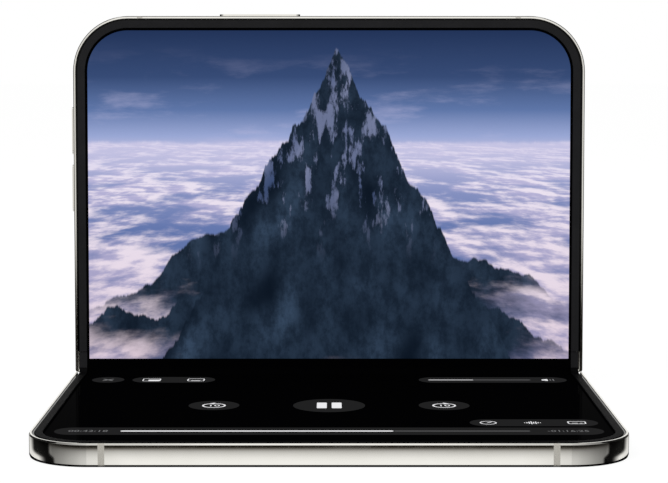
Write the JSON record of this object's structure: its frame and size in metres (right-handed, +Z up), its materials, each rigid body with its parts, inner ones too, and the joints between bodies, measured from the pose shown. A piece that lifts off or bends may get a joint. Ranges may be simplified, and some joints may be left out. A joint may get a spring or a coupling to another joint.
{
  "type": "foldable smartphone",
  "caption": "Thin foldable phone, half open like a small laptop, with a polished rim, a screen across a geared two-axis hinge, and side keys that press in.",
  "frame": {"origin": "middle of the flat outer glass of the lower half, which the phone lies on", "axes": "+X along the hinge to the right as pictured, +Y from the front edge to the hinge, +Z up"},
  "size_m": [0.1211, 0.0947, 0.0893],
  "materials": {
    "polished_metal": "mirror polished, warm silver",
    "plain_steel": "satin",
    "aluminium": "satin",
    "bezel_plastic": "fine matte charcoal",
    "soft_strip": "matte",
    "screen": "glossy black",
    "cover_glass": "glossy black",
    "back_glass": "frosted warm white",
    "flash": "clear warm white",
    "antenna_plastic": "warm grey",
    "window_plastic": "dark grey",
    "dark_plastic": "matte",
    "board": "lacquered",
    "gear_bronze": "machined"
  },
  "bodies": {
    "lower_half": {"lower_frame": "polished_metal", "lower_bezel": "bezel_plastic", "lower_bezel_strips": "bezel_plastic", "lower_screen": "screen", "lower_support_plate": "plain_steel", "cover_glass": "cover_glass", "cover_display": "screen", "cover_camera": "cover_glass", "lower_battery": "dark_plastic", "lower_speakers": "dark_plastic", "haptic_motor": "plain_steel", "lower_board": "board", "lower_antenna_bands": "antenna_plastic", "lower_hinge_brackets": "plain_steel", "lower_bracket_screws": "plain_steel"},
    "spine": {"spine_cover": "polished_metal", "spine_end_caps": "plain_steel", "spine_core": "aluminium", "hinge_blocks": "plain_steel", "gear_shafts": "plain_steel", "screen_fold": "screen", "fold_strips": "soft_strip"},
    "upper_half": {"upper_frame": "polished_metal", "upper_bezel": "bezel_plastic", "upper_bezel_strips": "bezel_plastic", "upper_screen": "screen", "upper_support_plate": "plain_steel", "back_glass": "back_glass", "camera_plateau": "back_glass", "lens_rings": "polished_metal", "lens_glasses": "cover_glass", "camera_modules": "dark_plastic", "flash_lens": "flash", "upper_battery": "dark_plastic", "main_board": "board", "board_shields": "plain_steel", "charging_coil": "gear_bronze", "upper_speakers": "dark_plastic", "usb_shell": "plain_steel", "usb_tongue": "dark_plastic", "edge_screws": "plain_steel", "upper_antenna_bands": "antenna_plastic", "antenna_window": "window_plastic", "upper_hinge_brackets": "plain_steel", "upper_bracket_screws": "plain_steel", "key_switches": "gear_bronze"},
    "lower_sync_arms": {"lower_sync_arms": "gear_bronze"},
    "upper_sync_arms": {"upper_sync_arms": "gear_bronze"},
    "lower_idler_gears": {"lower_idler_gears": "gear_bronze"},
    "upper_idler_gears": {"upper_idler_gears": "gear_bronze"},
    "side_key": {"side_key": "polished_metal"},
    "volume_up_key": {"volume_up_key": "polished_metal"},
    "volume_down_key": {"volume_down_key": "polished_metal"}
  },
  "joints": [
    {"name": "fold_lower", "type": "hinge", "parent": "lower_half", "child": "spine", "pos_m": [0, 0.0414, 0.0042], "axis": [1, 0, 0], "range_deg": [-44, 46], "deforming": ["screen_fold", "fold_strips"]},
    {"name": "fold_upper", "type": "hinge", "parent": "spine", "child": "upper_half", "pos_m": [0, 0.04255, 0.00531], "axis": [1, 0, 0], "range_deg": [-44, 46], "deforming": ["screen_fold", "fold_strips"]},
    {"name": "lower_arm_turn", "type": "hinge", "parent": "spine", "child": "lower_sync_arms", "pos_m": [0, 0.04158, 0.00215], "axis": [1, 0, 0], "range_deg": [-46, 44]},
    {"name": "lower_idler_turn", "type": "hinge", "parent": "spine", "child": "lower_idler_gears", "pos_m": [0, 0.04258, 0.00312], "axis": [1, 0, 0], "range_deg": [-44, 46]},
    {"name": "upper_idler_turn", "type": "hinge", "parent": "spine", "child": "upper_idler_gears", "pos_m": [0, 0.04359, 0.00409], "axis": [1, 0, 0], "range_deg": [-46, 44]},
    {"name": "upper_arm_turn", "type": "hinge", "parent": "spine", "child": "upper_sync_arms", "pos_m": [0, 0.0446, 0.00506], "axis": [1, 0, 0], "range_deg": [-44, 46]},
    {"name": "side_key_press", "type": "slide", "parent": "upper_half", "child": "side_key", "axis": [0, -0.0349, -0.9994], "range_m": [0, 0.00025], "stiffness_N_per_m": 800, "springref_m": -0.0005},
    {"name": "volume_up_press", "type": "slide", "parent": "upper_half", "child": "volume_up_key", "axis": [1, 0, 0], "range_m": [0, 0.00025], "stiffness_N_per_m": 800, "springref_m": -0.0005},
    {"name": "volume_down_press", "type": "slide", "parent": "upper_half", "child": "volume_down_key", "axis": [1, 0, 0], "range_m": [0, 0.00025], "stiffness_N_per_m": 800, "springref_m": -0.0005}
  ],
  "couplings": [
    {"joint": "fold_upper", "follows": "fold_lower", "ratio": 1},
    {"joint": "lower_arm_turn", "follows": "fold_lower", "ratio": -1},
    {"joint": "lower_idler_turn", "follows": "fold_lower", "ratio": 1},
    {"joint": "upper_idler_turn", "follows": "fold_lower", "ratio": -1},
    {"joint": "upper_arm_turn", "follows": "fold_lower", "ratio": 1}
  ]
}
